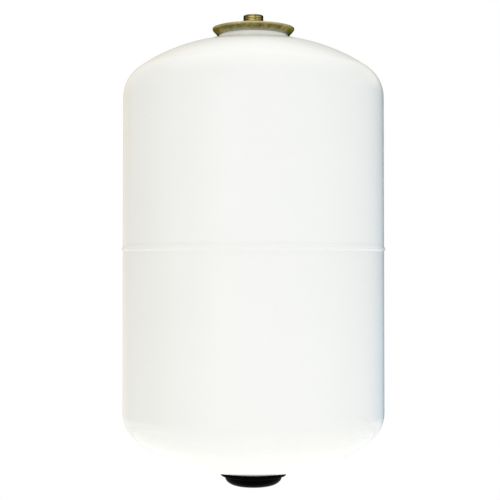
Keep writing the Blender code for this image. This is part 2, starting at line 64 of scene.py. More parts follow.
# Body shell: straight sides and two equal dished ends of three tangent arcs.
BODY_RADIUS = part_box("upper_shell")[1].x / MM
HALF_STRAIGHT = 161.6
KNUCKLE_RADIUS = 36.0
SHOULDER_RADIUS = 180.0
CROWN_RADIUS = 260.0
CROWN_EDGE = 53.0
SHELL_WALL = 1.5

# How far a corner is eased, by how its edge is made.
SEAT_EDGE = 0.1
STAMPED_EDGE = 0.15
TURNED_EDGE = 0.2
PLAIN_EDGE = 0.3
BLUNT_EDGE = 0.4
SOFT_EDGE = 0.5
FULL_EDGE = 0.6
ROLLED_EDGE = 0.8

# Girth joint.
JOGGLE_TOP = 9.9
JOGGLE_LENGTH = 2.0
JOGGLE_EASE = 0.5
LAP_BOTTOM = -10.0
LOWER_RIM = 4.2
BEAD_TOP = 7.6
BEAD_BOTTOM = 2.7
BEAD_HOLLOW = 0.02
SEAM_GAP = 0.12
BEAD_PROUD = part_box("girth_weld_bead")[1].x / MM - BODY_RADIUS
BEAD_FOOT = 0.1  # how far it stands out where it ends on the lower rim

# A weld bead's ripples: how far apart they lie and how high they stand.
GIRTH_RIPPLES = (3.3, 0.07)
NECK_RIPPLES = (2.6, 0.05)
SPIGOT_RIPPLES = (2.2, 0.06)
GIRTH_RIPPLE_BEND = 1.6  # how strongly the ripples curve across the bead
SPIGOT_RIPPLE_MIDDLE = 1.0  # above the flange's dish

# What keeps a weld uneven: size, waves a turn and phase.
RIPPLE_DRIFT = ((1.1, 3, 0.0), (0.7, 8, 1.3))
RIPPLE_SWELL = ((0.4, 11, 0.4), (0.3, 29, 0.0))

# Neck ring, flange and spigot.
NECK_RADIUS = 36.0
NECK_BORE = 33.6
NECK_BOTTOM = 216.0
NECK_WELD_LEG = 2.2
LIP_ROOT = 228.3
LIP_TOP = 230.4
LIP_RADIUS = 37.6
LIP_TAPER = 0.2
LIP_EDGE = 0.9
FLANGE_TOP = 235.2
FLANGE_PLATE = 1.6
FLANGE_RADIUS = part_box("clamp_flange")[1].x / MM
FLANGE_EDGE_ROUND = 0.5
DISH_RADIUS = 14.0
DISH_EDGE = 14.6
DISH_DEPTH = 0.5
SKIRT_OUTSIDE = ((42.7, 234.0), (42.2, 233.1), (41.2, 232.0), (39.3, 230.0), (38.0, 228.4))
SKIRT_HOOK = ((37.2, 227.2), (36.4, 227.5))
SKIRT_INSIDE = ((36.7, 228.5), (38.1, 230.4), (39.8, 232.2), (40.5, 233.6))
SPIGOT_TOP = 248.8
SPIGOT_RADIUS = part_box("spigot")[1].x / MM
SPIGOT_BORE = 7.5
SPIGOT_CHAMFER = 0.7
SPIGOT_WELD_LEG = 2.6
SPIGOT_PITCH = 1.814
SPIGOT_THREAD_DEPTH = 0.45
LINER_WALL = 1.5
LINER_DISC = 1.0
LINER_DISC_TOP = FLANGE_TOP - FLANGE_PLATE - GAP
LINER_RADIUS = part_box("connection_liner")[1].x / MM
LINER_RECESS = 1.0
FILLET_HOLLOW = 0.35
FILLET_BEND = 0.3

# Bladder.
BLADDER_WALL = 2.0
BLADDER_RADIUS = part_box("bladder")[1].x / MM
BLADDER_SHOULDER = 190.0
BLADDER_SHOULDER_ROUND = 45.0
BLADDER_NECK_SLOPE = math.radians(75)
BLADDER_BOTTOM = -165.0
BLADDER_BOTTOM_ROUND = 90.0
BLADDER_ROWS_APART = 6.0
SLACK_START = 90.0  # from the shoulder, and from the bottom, to full folds
SLACK_DEPTH = 1.6
SLACK_CREST = 1.3  # the folds' sizes added up

# The bladder's folds: size, folds a turn and the height in which they lean by a radian.
SLACK_FOLDS = ((0.6, 7, 60.0), (0.4, 12, -45.0), (0.3, 3, 80.0))

# Valve pocket in the lower half.
POCKET_RADIUS = 25.3
POCKET_DEPTH = 16.0
POCKET_MOUTH_ROUND = 5.0
POCKET_FLOOR_ROUND = 4.0
VALVE_HOLE = 5.3

# Air valve and its core, below the pocket's floor.
STEM_RADIUS = 3.9
STEM_LENGTH = 17.6
STEM_BORE = 2.7
STEM_INNER_BORE = 1.3
STEM_PITCH = 0.794
STEM_THREAD_DEPTH = 0.42
STEM_THREAD_TOP = -5.9
SPRING_SEAT = 2.6
HEAD_RADIUS = 8.5
HEAD_THICKNESS = 3.0
GROMMET_THICKNESS = 2.0
GROMMET_RADIUS = 9.0
WASHER_RADIUS = 8.5
WASHER_THICKNESS = 1.0
NUT_ACROSS_FLATS = 13.0
NUT_THICKNESS = 4.0
NUT_FACE = 0.93
NUT_CHAMFER_SLOPE = math.tan(math.radians(30))
NUT_ROWS = 40
CORE_TOP = 10.1
CORE_BOTTOM = 16.6
CORE_RADIUS = 2.4
CORE_BORE = 1.0
CORE_GROOVE_TOP = 11.0
CORE_GROOVE_BOTTOM = 13.2
CORE_GROOVE_RADIUS = 1.6
PIN_RADIUS = 0.6
PIN_TOP = 1.6
PIN_BOTTOM = 17.2
PIN_TIP_EDGE = 0.25
POPPET_RADIUS = 2.0
POPPET_PLATE = 0.7
POPPET_SEAL = 1.0
POPPET_TOP = -CORE_TOP + POPPET_SEAL + POPPET_PLATE + 2 * GAP
SPRING_RADIUS = 1.5
SPRING_WIRE = 0.2
SPRING_TURNS = 6
SPRING_STEPS = 28  # points to a turn
SPRING_SIDES = 10

# Dust cap and protective cover.
DUST_CAP_RADIUS = 5.8
DUST_CAP_TOP = 10.1
DUST_CAP_LENGTH = 10.5
DUST_CAP_END = 1.5
DUST_CAP_RIBS = 30
DUST_CAP_RIB_DEPTH = 0.35
DUST_CAP_RIB_FADE = 0.8
DUST_CAP_BAND = 1.2  # plain rim above the ribs
DUST_CAP_FOOT = 1.0  # plain foot below them
DUST_CAP_ROUND = 1.1
DUST_CAP_LEAD_IN = 0.3
DUST_CAP_UNDERCUT = 0.2
DUST_SEAL_THICKNESS = 0.9
COVER_BOTTOM = -238.2
COVER_FLAT = 15.5
COVER_BOWL_RADIUS = 29.35
COVER_BOWL_TOP = -229.4
COVER_RIM_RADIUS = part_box("protective_cap")[1].x / MM
COVER_SHOULDER = -228.3
COVER_WALL = 1.5
COVER_FLARE = 0.5
GATE_RADIUS = 2.2
GATE_DEPTH = 0.35
COVER_SKIRT_TOP = -215.5
COVER_SKIRT_WALL = 1.6
COVER_SHOULDER_ROUND = 1.2
COVER_RIM_ROUND = 0.9
COVER_GRIP_PROUD = 0.2  # ridge that grips the pocket's wall
COVER_GRIP_CREST = 1.8  # its crest and its foot, below the skirt's top
COVER_GRIP_FOOT = 3.0
COVER_LEAD_IN = 0.3

THREAD_FORM = 2.6  # above 1, the crests are wider than the grooves

# Datum heights in the frame.
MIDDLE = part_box("spigot")[1].z / MM - SPIGOT_TOP
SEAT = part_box("valve_washer")[1].z / MM + GAP

# Where the flange's plating is painted pale on its rolled lip, as a reflection of the white dome,
# and painted bright along its rim as a highlight. The heights are from the origin and the rim's
# widths are in from its edge.
LIP_REFLECTION_TOP = -18.2
LIP_REFLECTION_BOTTOM = -21.0
RIM_HIGHLIGHT_TOP = -13.8
RIM_HIGHLIGHT_BOTTOM = -16.6
RIM_HIGHLIGHT_FROM = 3.0
RIM_HIGHLIGHT_FULL = 0.8

# How finely each piece is turned.
SHELL_FACETS = 288
WELD_FACETS = 1536
RING_FACETS = 192
THREAD_FACETS = 120
SMALL_FACETS = 72
FLOOR_FACETS = 96
EASE_STEPS = 4
EASE_LIMIT = 0.45  # share of a side that one corner's ease may take
CHAMFER_ROWS = 8
SPIGOT_ROW = SPIGOT_PITCH / 14
STEM_ROW = STEM_PITCH / 12
DUST_CAP_ROW = 0.4
BEAD_POINTS = 19
FILLET_POINTS = 9
BOWL_POINTS = 22
ARC_STEP = math.radians(2.5)
SMOOTH_LIMIT = math.radians(38)
ON_AXIS = 1e-9
ON_FACE = 1e-6


# ---- Outline helpers

def arc(centre, radius, start, end):
    """Points on a circle from angle start to angle end, in radians, ends included."""
    steps = max(2, math.ceil(abs(end - start) / ARC_STEP))
    angles = [start + (end - start) * i / steps for i in range(steps + 1)]
    return [(centre[0] + radius * math.cos(a), centre[1] + radius * math.sin(a))
            for a in angles]


def rows(radius, start, end, step):
    """Points up or down a straight wall, no further apart than step."""
    count = max(1, math.ceil(abs(end - start) / step))
    return [(radius, start + (end - start) * i / count) for i in range(count + 1)]


def eased(loop):
    """A closed outline with its corners rounded. Points are (radius, height[, ease])."""
    done = []
    for i, point in enumerate(loop):
        here = np.array(point[:2])
        if len(point) < 3:
            done.append(here)
            continue
        ends = []
        for other in (loop[i - 1], loop[(i + 1) % len(loop)]):
            way = np.array(other[:2]) - here
            length = np.linalg.norm(way)
            ends.append(here + way / length * min(point[2], EASE_LIMIT * length))
        for step in range(EASE_STEPS + 1):
            t = step / EASE_STEPS
            done.append((1 - t) ** 2 * ends[0] + 2 * t * (1 - t) * here + t * t * ends[1])
    return np.array(done)


def signed_area(outline):
    """Area inside a closed outline, positive when it runs anticlockwise."""
    following = np.roll(outline, -1, axis=0)
    return np.sum(outline[:, 0] * following[:, 1] - following[:, 0] * outline[:, 1]) / 2


def dished_end_arcs():
    """Centre, radius, start and end angle of the knuckle, shoulder and crown arcs."""
    crown_angle = math.acos(CROWN_EDGE / CROWN_RADIUS)
    shoulder_x = (SHOULDER_RADIUS - CROWN_RADIUS) * math.cos(crown_angle)
    knuckle_x = BODY_RADIUS - KNUCKLE_RADIUS
    reach = SHOULDER_RADIUS - KNUCKLE_RADIUS
    knuckle_angle = math.acos((knuckle_x + shoulder_x) / reach)
    shoulder_y = -reach * math.sin(knuckle_angle)
    crown_y = shoulder_y - (CROWN_RADIUS - SHOULDER_RADIUS) * math.sin(crown_angle)
    knuckle = ((knuckle_x, 0.0), KNUCKLE_RADIUS, 0.0, knuckle_angle)
    shoulder = ((-shoulder_x, shoulder_y), SHOULDER_RADIUS, knuckle_angle, crown_angle)
    crown = ((0.0, crown_y), CROWN_RADIUS, crown_angle, math.pi / 2)
    return knuckle, shoulder, crown


def crown_height(radius):
    """Height of the crown above the middle plane, at a distance from the axis."""
    centre, crown_radius = dished_end_arcs()[2][:2]
    return HALF_STRAIGHT + centre[1] + math.sqrt(crown_radius ** 2 - radius ** 2)


def dished_end(inner_radius, inset=0.0):
    """Outline of a dished end from the straight shell in to inner_radius."""
    points = []
    for centre, radius, start, end in dished_end_arcs():
        if centre[0] == 0.0:
            end = math.acos(inner_radius / (radius - inset))
        run = arc((centre[0], centre[1] + HALF_STRAIGHT), radius - inset, start, end)
        points += run[1:] if points else run
    return points


def flipped(points):
    """The same outline below the middle plane."""
    return [(r, -z) for r, z in points]


# ---- Mesh builders

def add_object(name, data):
    """An object in the scene that shows a mesh, a camera or a light."""
    made = bpy.data.objects.new(name, data)
    bpy.context.scene.collection.objects.link(made)
    return made


def piece_from(name, geometry, node, material, body="vessel"):
    """Make a mesh piece in the frame that stands for a CAD node and rides on a body."""
    vertices, faces = geometry
    mesh = bpy.data.meshes.new(name)
    mesh.from_pydata(vertices, [], faces)
    mesh.validate()
    mesh.shade_smooth()
    mesh.set_sharp_from_angle(angle=SMOOTH_LIMIT)
    mesh.materials.append(material)
    piece = add_object(name, mesh)
    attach(piece, body)
    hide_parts(node)
    return piece


def lathe(loop, facets, datum, shape=None):
    """Vertices and faces of a closed outline turned about Z.

    shape takes and gives back arrays of radius and height, one column to each angle.
    """
    outline = eased(loop)
    if signed_area(outline) > 0:
        outline = outline[::-1]
    turn = np.arange(facets) * FULL_TURN / facets
    radius = np.repeat(outline[:, :1], facets, axis=1)
    height = np.repeat(outline[:, 1:], facets, axis=1)
    if shape:
        radius, height = shape(radius, height, turn[None, :])
    vertices, rings = [], []
    for r, z in zip(radius, height + datum):
        start = len(vertices)
        if r.max() < ON_AXIS:
            vertices.append((0.0, 0.0, z[0] * MM))
            rings.append([start] * facets)
        else:
            vertices += list(zip(r * np.cos(turn) * MM, r * np.sin(turn) * MM, z * MM))
            rings.append(list(range(start, start + facets)))
    faces = []
    for this, following in zip(rings, rings[1:] + rings[:1]):
        if this[0] == this[1] and following[0] == following[1]:
            continue
        for k in range(facets):
            after = (k + 1) % facets
            corners = (this[k], following[k], following[after], this[after])
            faces.append(tuple(dict.fromkeys(corners)))
    return vertices, faces


def smoothed(share):
    """A soft step from 0 to 1."""
    share = np.clip(share, 0.0, 1.0)
    return share * share * (3 - 2 * share)


def between(height, low, high, fade):
    """1 between two heights, easing to 0 over a distance as it comes to either."""
    return smoothed((height - low) / fade) * smoothed((high - height) / fade)


def thread(crest, depth, pitch, low, high, outside=0.0):
    """Shape that cuts a right-hand thread between two heights.

    outside moves the same surface outwards, for a bore that turns on the thread.
    """
    def shape(radius, height, turn):
        phase = height / pitch - turn / FULL_TURN
        groove = depth * (0.5 - 0.5 * np.cos(FULL_TURN * phase)) ** THREAD_FORM
        cut = crest + outside - groove * between(height, low, high, pitch)
        if outside:
            on_bore = np.abs(radius - crest - outside) < ON_FACE
            return np.where(on_bore, cut, radius), height
        near = radius > crest - depth - ON_FACE
        return np.where(near, np.minimum(radius, cut), radius), height
    return shape


def waves(turn, terms):
    """Sines round the axis added up. Each term is (size, waves a turn, phase)."""
    return sum(size * np.sin(count * turn + phase) for size, count, phase in terms)


def ripples(kind, base, proud, middle, arch):
    """Shape that lays a welder's crescent ripples on the proud face of a bead."""
    spacing, amplitude = kind
    count = round(FULL_TURN * base / spacing)

    def shape(radius, height, turn):
        bend = ((height - middle) / arch) ** 2
        crescents = np.cos(count * turn + waves(turn, RIPPLE_DRIFT) + bend)
        face = np.clip((radius - base) / proud, 0.0, 1.0)
        uneven = crescents + waves(turn, RIPPLE_SWELL) - 1.0
        return radius + amplitude * face * uneven, height
    return shape


def unit(vectors):
    """Each row scaled to a length of 1."""
    return vectors / np.linalg.norm(vectors, axis=1)[:, None]


def tube(path, radius, sides):
    """Vertices and faces of a round wire along a path about the Z axis, with flat ends."""
    path = np.array(path)
    along = unit(np.gradient(path, axis=0))
    across = unit(path * (1.0, 1.0, 0.0))
    across = unit(across - np.sum(across * along, axis=1)[:, None] * along)
    third = np.cross(along, across)
    vertices = []
    for centre, u, v in zip(path, across, third):
        for k in range(sides):
            angle = FULL_TURN * k / sides
            spoke = u * math.cos(angle) + v * math.sin(angle)
            vertices.append(tuple((centre + radius * spoke) * MM))
    faces = []
    for i in range(len(path) - 1):
        for k in range(sides):
            after = (k + 1) % sides
            faces.append((i * sides + k, i * sides + after,
                          (i + 1) * sides + after, (i + 1) * sides + k))
    faces.append(tuple(range(sides))[::-1])
    faces.append(tuple(range((len(path) - 1) * sides, len(path) * sides)))
    return vertices, faces


# ---- Materials

class Graph:
    """A node tree whose nodes are made from plain values and other nodes' outputs."""

    def __init__(self, tree):
        self.tree = tree

    def set(self, socket, value):
        """Link an output to a socket, or give the socket a plain value."""
        if isinstance(value, bpy.types.NodeSocket):
            self.tree.links.new(value, socket)
        else:
            socket.default_value = value

    def add(self, kind, **inputs):
        """A node with its sockets set by name."""
        made = self.tree.nodes.new(kind)
        for name, value in inputs.items():
            self.set(made.inputs[name.replace("_", " ")], value)
        return made

    def maths(self, operation, *values):
        """The result of a Math node."""
        node = self.tree.nodes.new("ShaderNodeMath")
        node.operation = operation
        for socket, value in zip(node.inputs, values):
            self.set(socket, value)
        return node.outputs[0]

    def blend(self, share, first, second):
        """A colour between two colours."""
        mix = self.tree.nodes.new("ShaderNodeMix")
        mix.data_type = "RGBA"
        self.set(mix.inputs[0], share)
        for socket, colour in ((mix.inputs[6], first), (mix.inputs[7], second)):
            linked = isinstance(colour, bpy.types.NodeSocket)
            self.set(socket, colour if linked else (*colour, 1.0))
        return mix.outputs[2]


class Shader(Graph):
    """A Principled material fed by procedural nodes in the piece's own space."""

    def __init__(self, name, **sockets):
        self.material = bpy.data.materials.new(name)
        self.material.use_nodes = True
        super().__init__(self.material.node_tree)
        self.surface = self.tree.nodes["Principled BSDF"]
        self.place = self.add("ShaderNodeTexCoord").outputs["Object"]
        for socket, value in sockets.items():
            self.feed(socket.replace("_", " "), value)

    def feed(self, socket, value):
        """Link a value into one of the Principled shader's own sockets."""
        self.set(self.surface.inputs[socket], value)

    def stretched(self, scale):
        """Object coordinates scaled unevenly, for grain that runs one way."""
        return self.add("ShaderNodeMapping", Vector=self.place, Scale=scale).outputs[0]

    def noise(self, scale, detail=3.0, roughness=0.55, place=None):
        """Soft noise from about 0.3 to 0.7. Its features are about 1 / scale metres."""
        return self.add("ShaderNodeTexNoise", Vector=place or self.place, Scale=scale,
                        Detail=detail, Roughness=roughness).outputs["Fac"]

    def spread(self, value, low=0.0, high=1.0, start=0.35, end=0.65):
        """A value mapped to run from low to high as it goes from start to end."""
        return self.add("ShaderNodeMapRange", Value=value, From_Min=start, From_Max=end,
                        To_Min=low, To_Max=high).outputs[0]

    def turned_away(self):
        """0 where the surface faces the viewer, 1 at its outline."""
        return self.add("ShaderNodeLayerWeight", Blend=0.5).outputs["Facing"]

    def total(self, first, second, share):
        """first plus share of second."""
        return self.maths("MULTIPLY_ADD", second, share, first)

    def bump(self, height, depth):
        """Bump whose full height is depth millimetres."""
        node = self.add("ShaderNodeBump", Height=height, Distance=depth * MM)
        self.feed("Normal", node.outputs[0])


def white_powder_coat():
    """Gloss white powder coat: fine orange peel, faint tone changes and a few specks."""
    cream, white, speck = (0.856, 0.860, 0.848), (0.868, 0.872, 0.860), (0.83, 0.83, 0.82)
    paint = Shader("white_powder_coat", IOR=1.5)
    tone = paint.spread(paint.noise(9.0))
    specks = paint.spread(paint.noise(700.0, detail=1.0), start=0.66, end=0.76)
    paint.feed("Base Color", paint.blend(specks, paint.blend(tone, cream, white), speck))
    paint.feed("Roughness", paint.spread(paint.noise(60.0), 0.07, 0.12))
    peel = paint.noise(420.0, detail=2.0)
    swell = paint.noise(35.0, detail=1.0)
    paint.bump(paint.total(peel, swell, 4.0), 0.008)
    return paint.material


def yellow_chromate():
    """Dull yellow zinc plating, mottled, with a painted reflection that makes the rolled lip pale,
    painted shadow where the lip turns away and a painted highlight on the rim.
    """
    olive, straw, brown = (0.150, 0.124, 0.034), (0.400, 0.340, 0.125), (0.170, 0.158, 0.066)
    pale, shadow, rim_highlight = (0.50, 0.49, 0.38), (0.022, 0.020, 0.010), (0.72, 0.63, 0.32)
    plate = Shader("yellow_chromate", Metallic=1.0, Specular_Tint=(0.30, 0.26, 0.14, 1.0))
    blotch = plate.spread(plate.noise(110.0, detail=4.0, roughness=0.65), start=0.40, end=0.60)
    stain = plate.spread(plate.noise(240.0, detail=3.0), start=0.48, end=0.66)
    colour = plate.blend(stain, plate.blend(blotch, olive, straw), brown)

    east, north, up = plate.add("ShaderNodeSeparateXYZ", Vector=plate.place).outputs
    # Painted reflection: the rolled lip is painted pale, as if it mirrored the white dome below.
    lip_reflection = plate.spread(up, 0.0, 0.65, LIP_REFLECTION_TOP * MM, LIP_REFLECTION_BOTTOM * MM)
    outline_shade = plate.spread(plate.turned_away(), 0.0, 1.5, 0.40, 0.85)
    colour = plate.blend(lip_reflection, colour, pale)
    # Painted shadow under the hook: the lip turns near black where it turns away from the viewer.
    colour = plate.blend(plate.maths("MULTIPLY", lip_reflection, outline_shade), colour, shadow)

    # Painted highlight: a bright band along the upper outer edge of the rim.
    radius = plate.maths("SQRT", plate.maths("MULTIPLY_ADD", east, east,
                                             plate.maths("MULTIPLY", north, north)))
    rim = plate.spread(radius, 0.0, 1.0, (FLANGE_RADIUS - RIM_HIGHLIGHT_FROM) * MM,
                       (FLANGE_RADIUS - RIM_HIGHLIGHT_FULL) * MM)
    top = plate.spread(up, 0.0, 0.8, RIM_HIGHLIGHT_BOTTOM * MM, RIM_HIGHLIGHT_TOP * MM)
    plate.feed("Base Color", plate.blend(plate.maths("MULTIPLY", rim, top), colour, rim_highlight))
    plate.feed("Roughness", plate.spread(plate.noise(140.0), 0.26, 0.42))
    plate.bump(plate.noise(1500.0, detail=2.0), 0.02)
    return plate.material


def turned_chromate():
    """The same plating on a turned piece: lighter and darker streaks down its length, and painted
    shade towards its outline.
    """
    dull, bright, shadow = (0.38, 0.31, 0.10), (0.84, 0.70, 0.30), (0.080, 0.068, 0.022)
    plate = Shader("turned_chromate", Metallic=1.0, Specular_Tint=(0.30, 0.25, 0.12, 1.0))
    # Lighter and darker streaks down the piece's length.
    streaks = plate.noise(330.0, detail=2.0, place=plate.stretched((1.0, 1.0, 0.06)))
    gold = plate.blend(plate.spread(streaks, start=0.38, end=0.60), dull, bright)
    # Painted shade: darker towards the outline, where the piece turns away from the viewer.
    outline_shade = plate.spread(plate.turned_away(), start=0.08, end=0.50)
    plate.feed("Base Color", plate.blend(outline_shade, gold, shadow))
    plate.feed("Roughness", plate.spread(plate.noise(300.0), 0.20, 0.30))
    rings = plate.noise(60.0, detail=2.0, place=plate.stretched((1.0, 1.0, 160.0)))
    plate.bump(rings, 0.003)
    return plate.material


def natural_polypropylene():
    """Milky liner plastic with a soft moulded skin."""
    plastic = Shader("natural_polypropylene", IOR=1.49, Subsurface_Weight=0.15,
                     Subsurface_Scale=2 * MM)
    tone = plastic.spread(plastic.noise(120.0))
    plastic.feed("Base Color", plastic.blend(tone, (0.76, 0.76, 0.71), (0.82, 0.82, 0.78)))
    plastic.feed("Roughness", plastic.spread(plastic.noise(500.0), 0.38, 0.50))
    plastic.bump(plastic.noise(1800.0), 0.01)
    return plastic.material


def butyl_rubber():
    """Matt black rubber with a faint grey bloom of talc."""
    rubber = Shader("butyl_rubber", IOR=1.5)
    bloom = rubber.spread(rubber.noise(45.0, detail=5.0), start=0.45, end=0.75)
    rubber.feed("Base Color", rubber.blend(bloom, (0.018, 0.018, 0.019), (0.075, 0.074, 0.072)))
    rubber.feed("Roughness", rubber.spread(rubber.noise(220.0), 0.58, 0.80))
    grain = rubber.noise(1400.0, detail=2.0)
    rubber.bump(rubber.total(grain, rubber.noise(90.0), 3.0), 0.03)
    return rubber.material


def seal_rubber(name, dark, light):
    """Smooth moulded rubber in a given colour."""
    rubber = Shader(name, IOR=1.5)
    tone = rubber.spread(rubber.noise(700.0))
    rubber.feed("Base Color", rubber.blend(tone, dark, light))
    rubber.feed("Roughness", rubber.spread(rubber.noise(1500.0), 0.50, 0.68))
    rubber.bump(rubber.noise(4000.0), 0.006)
    return rubber.material


def turned_metal(name, dull, bright, roughness):
    """Turned metal with tool rings and a little tarnish."""
    metal = Shader(name, Metallic=1.0)
    tarnish = metal.spread(metal.noise(350.0, detail=4.0))
    metal.feed("Base Color", metal.blend(tarnish, dull, bright))
    metal.feed("Roughness", metal.spread(metal.noise(900.0), roughness, roughness + 0.12))
    rings = metal.noise(120.0, detail=2.0, place=metal.stretched((1.0, 1.0, 90.0)))
    metal.bump(rings, 0.004)
    return metal.material


def moulded_black(name, roughness, grain):
    """Black moulded plastic with a fine eroded grain."""
    deep, faded = (0.0006, 0.0006, 0.0007), (0.0016, 0.0016, 0.0018)
    plastic = Shader(name, IOR=1.49, Specular_IOR_Level=0.012)
    tone = plastic.spread(plastic.noise(150.0))
    plastic.feed("Base Color", plastic.blend(tone, deep, faded))
    plastic.feed("Roughness", plastic.spread(plastic.noise(800.0), roughness, roughness + 0.10))
    plastic.bump(plastic.noise(grain, detail=2.0), 0.008)
    return plastic.material


# ---- Body shell

def make_upper_half(paint):
    """Upper drawn half, stepped in where it slides into the lower one."""
    hole = NECK_RADIUS + GAP
    lap_radius = BODY_RADIUS - SHELL_WALL - GAP
    step_end = JOGGLE_TOP - JOGGLE_LENGTH
    loop = dished_end(hole)[::-1]
    loop += [(BODY_RADIUS, JOGGLE_TOP, JOGGLE_EASE), (lap_radius, step_end, JOGGLE_EASE),
             (lap_radius, LAP_BOTTOM, PLAIN_EDGE),
             (lap_radius - SHELL_WALL, LAP_BOTTOM, PLAIN_EDGE),
             (lap_radius - SHELL_WALL, step_end + SHELL_WALL / 2, JOGGLE_EASE),
             (BODY_RADIUS - SHELL_WALL, JOGGLE_TOP + SHELL_WALL / 2, JOGGLE_EASE)]
    loop += dished_end(hole, SHELL_WALL)
    piece_from("upper_half", lathe(loop, SHELL_FACETS, MIDDLE),
               "upper_shell", paint)


def pocket_outline(inset):
    """Pocket from its mouth on the crown in to the valve hole, below the middle plane."""
    floor = -crown_height(0.0) + POCKET_DEPTH + inset
    mouth = POCKET_RADIUS + POCKET_MOUTH_ROUND
    mouth_centre = (mouth, -crown_height(mouth) + POCKET_MOUTH_ROUND)
    floor_round = POCKET_FLOOR_ROUND + inset
    floor_centre = (POCKET_RADIUS - POCKET_FLOOR_ROUND, floor - floor_round)
    return (arc(mouth_centre, POCKET_MOUTH_ROUND - inset, -math.pi / 2, -math.pi)
            + arc(floor_centre, floor_round, 0.0, math.pi / 2)
            + [(VALVE_HOLE, floor)])


def make_lower_half(paint):
    """Lower drawn half, with the valve pocket pressed into its crown."""
    mouth = POCKET_RADIUS + POCKET_MOUTH_ROUND
    outer = [(BODY_RADIUS, LOWER_RIM, PLAIN_EDGE)]
    outer += flipped(dished_end(mouth))[:-1] + pocket_outline(0.0)
    inner = [(BODY_RADIUS - SHELL_WALL, LOWER_RIM, PLAIN_EDGE)]
    inner += flipped(dished_end(mouth, SHELL_WALL))[:-1] + pocket_outline(SHELL_WALL)
    piece_from("lower_half", lathe(outer + inner[::-1], SHELL_FACETS, MIDDLE),
               "lower_shell", paint)


def make_girth_bead(paint):
    """Rippled weld bead that fills the step and laps over the lower half's rim."""
    root = BODY_RADIUS - SHELL_WALL
    face = BODY_RADIUS - BEAD_HOLLOW
    middle = (BEAD_TOP + BEAD_BOTTOM) / 2
    half = (BEAD_TOP - BEAD_BOTTOM) / 2
    crown = [(BODY_RADIUS + BEAD_PROUD * math.sin(a) ** 2, middle + half * math.cos(a))
             for a in np.linspace(0.0, math.pi, BEAD_POINTS)]
    shelf = LOWER_RIM + GAP
    loop = [(root, BEAD_TOP - GAP), (face, JOGGLE_TOP - SEAM_GAP), (face, BEAD_TOP + GAP)]
    loop += crown + [(BODY_RADIUS + BEAD_FOOT, shelf), (root, shelf)]
    shape = ripples(GIRTH_RIPPLES, BODY_RADIUS, BEAD_PROUD, middle, half / GIRTH_RIPPLE_BEND)
    piece_from("girth_bead", lathe(loop, WELD_FACETS, MIDDLE, shape),
               "girth_weld_bead", paint)


# ---- Water end

def make_collar(paint):
    """Neck ring with the lip that the flange grips."""
    loop = [(NECK_BORE, LIP_TOP, SOFT_EDGE), (LIP_RADIUS, LIP_TOP, FULL_EDGE),
            (LIP_RADIUS - LIP_TAPER, LIP_TOP - LIP_EDGE, BLUNT_EDGE),
            (NECK_RADIUS, LIP_ROOT, FULL_EDGE),
            (NECK_RADIUS, NECK_BOTTOM, PLAIN_EDGE), (NECK_BORE, NECK_BOTTOM, PLAIN_EDGE)]
    piece_from("collar", lathe(loop, RING_FACETS, MIDDLE),
               "neck_ring", paint)


def fillet(root, root_height, leg, toe_height):
    """Outline of a concave fillet that stands on a face, against a round wall."""
    hollow = leg * FILLET_HOLLOW
    top = np.array((root, root_height + leg))
    bend = np.array((root + hollow * FILLET_BEND, root_height + hollow * FILLET_BEND))
    toe = np.array((root + leg, toe_height))
    face = [tuple((1 - t) ** 2 * top + 2 * t * (1 - t) * bend + t * t * toe)
            for t in np.linspace(0.0, 1.0, FILLET_POINTS)]
    return face + [(root + leg, toe_height - GAP), (root, root_height - GAP)]


def make_collar_fillet(paint):
    """Painted weld between the collar and the upper half."""
    toe_height = crown_height(NECK_RADIUS + GAP + NECK_WELD_LEG)
    loop = fillet(NECK_RADIUS, crown_height(NECK_RADIUS), NECK_WELD_LEG, toe_height)
    middle = crown_height(NECK_RADIUS) + NECK_WELD_LEG / 2
    shape = ripples(NECK_RIPPLES, NECK_RADIUS, NECK_WELD_LEG, middle, NECK_WELD_LEG)
    piece_from("collar_fillet", lathe(loop, WELD_FACETS // 2, MIDDLE, shape),
               "neck_weld_bead", paint)


def make_flange(plating):
    """Plated cover disc whose skirt is rolled in under the collar's lip."""
    hole = SPIGOT_RADIUS + GAP
    underside = FLANGE_TOP - FLANGE_PLATE
    dish = FLANGE_TOP - DISH_DEPTH
    loop = [(hole, dish), (DISH_RADIUS, dish, PLAIN_EDGE), (DISH_EDGE, FLANGE_TOP, PLAIN_EDGE),
            (FLANGE_RADIUS, FLANGE_TOP, FLANGE_EDGE_ROUND)]
    for bends, ease in ((SKIRT_OUTSIDE, ROLLED_EDGE), (SKIRT_HOOK, PLAIN_EDGE),
                        (SKIRT_INSIDE, ROLLED_EDGE)):
        loop += [(r, z, ease) for r, z in bends]
    loop.append((hole, underside))
    piece_from("rolled_flange", lathe(loop, RING_FACETS, MIDDLE),
               "clamp_flange", plating)


